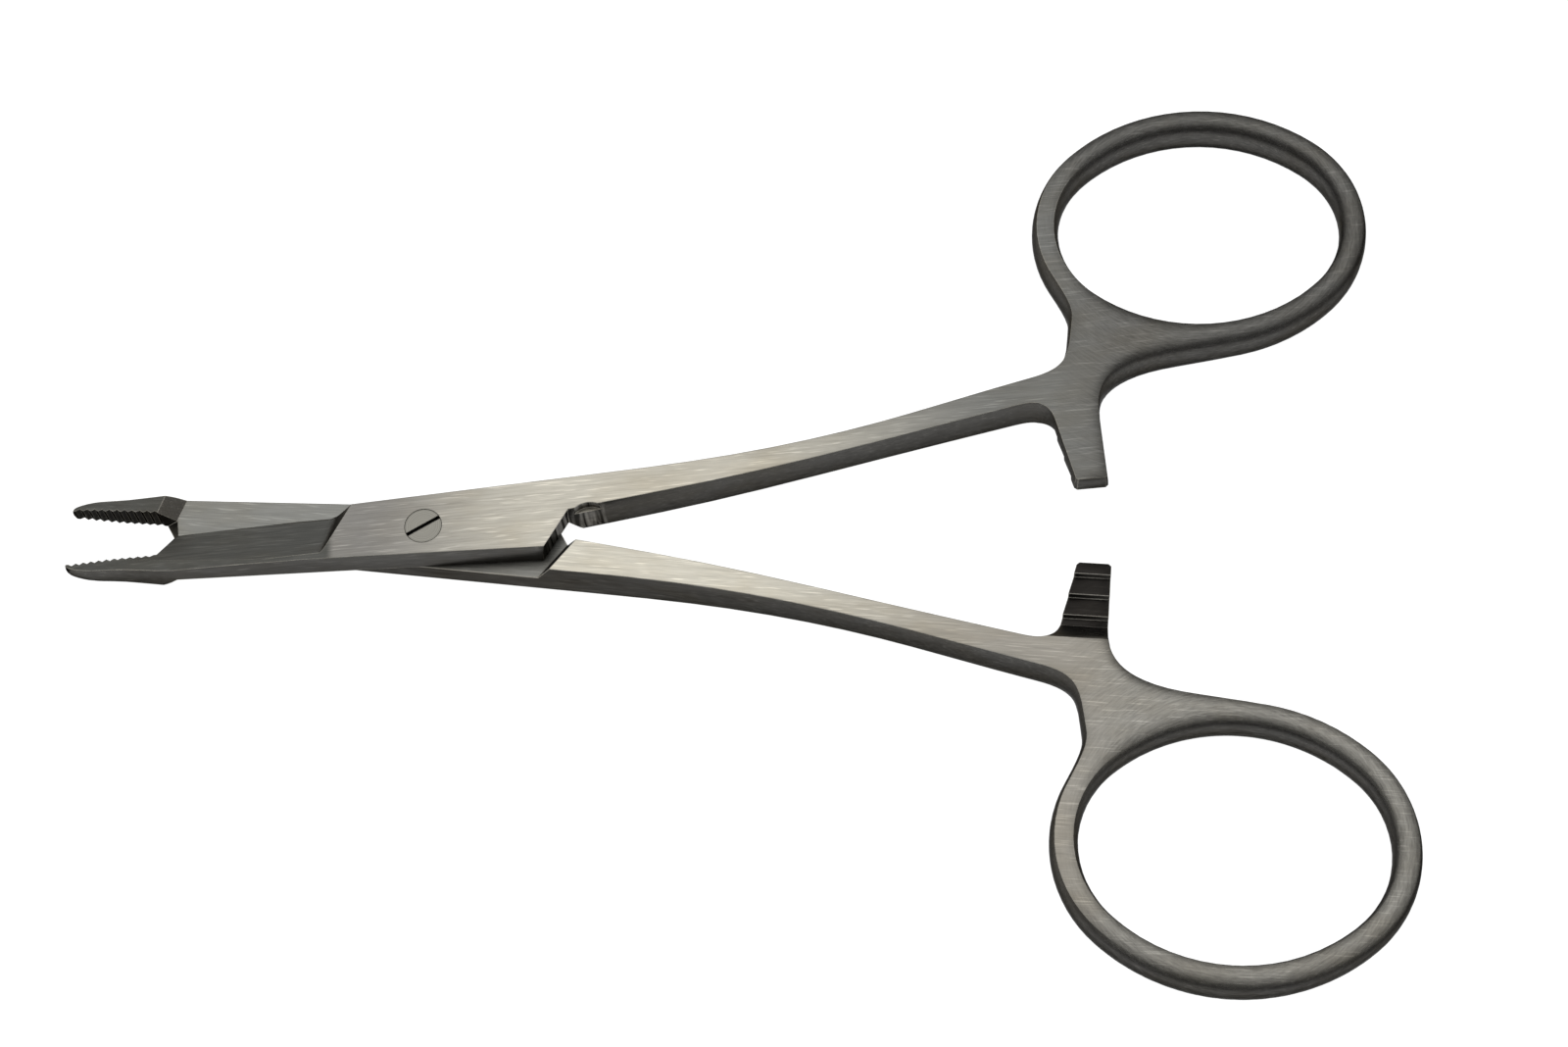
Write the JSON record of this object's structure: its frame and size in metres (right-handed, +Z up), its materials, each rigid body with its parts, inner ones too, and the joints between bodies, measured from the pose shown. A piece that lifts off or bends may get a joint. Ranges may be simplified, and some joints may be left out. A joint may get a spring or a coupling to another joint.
{
  "type": "surgical needle holder",
  "caption": "Ring-handled needle holder with serrated jaw tips, a cutting section behind them, a lap joint with a slotted screw, and a ratchet between the shanks.",
  "frame": {"origin": "on the pivot axis, in the plane that the instrument rests on", "axes": "+X from the joint towards the finger rings, +Y towards the ring of the upper half, +Z up along the pivot axis"},
  "size_m": [0.116, 0.0852, 0.004],
  "materials": {
    "satin_steel": "satin brushed along the length",
    "satin_steel_lower": "satin brushed along the length",
    "screw_steel": "turned and satin ground"
  },
  "bodies": {
    "lower": {"lower_half": "satin_steel_lower", "pivot_screw": "screw_steel"},
    "upper": {"upper_half": "satin_steel"}
  },
  "joints": [
    {"name": "lap_joint", "type": "hinge", "parent": "lower", "child": "upper", "pos_m": [0, 0, 0.002], "axis": [0, 0, 1], "range_deg": [-9.6, 80.4]}
  ]
}
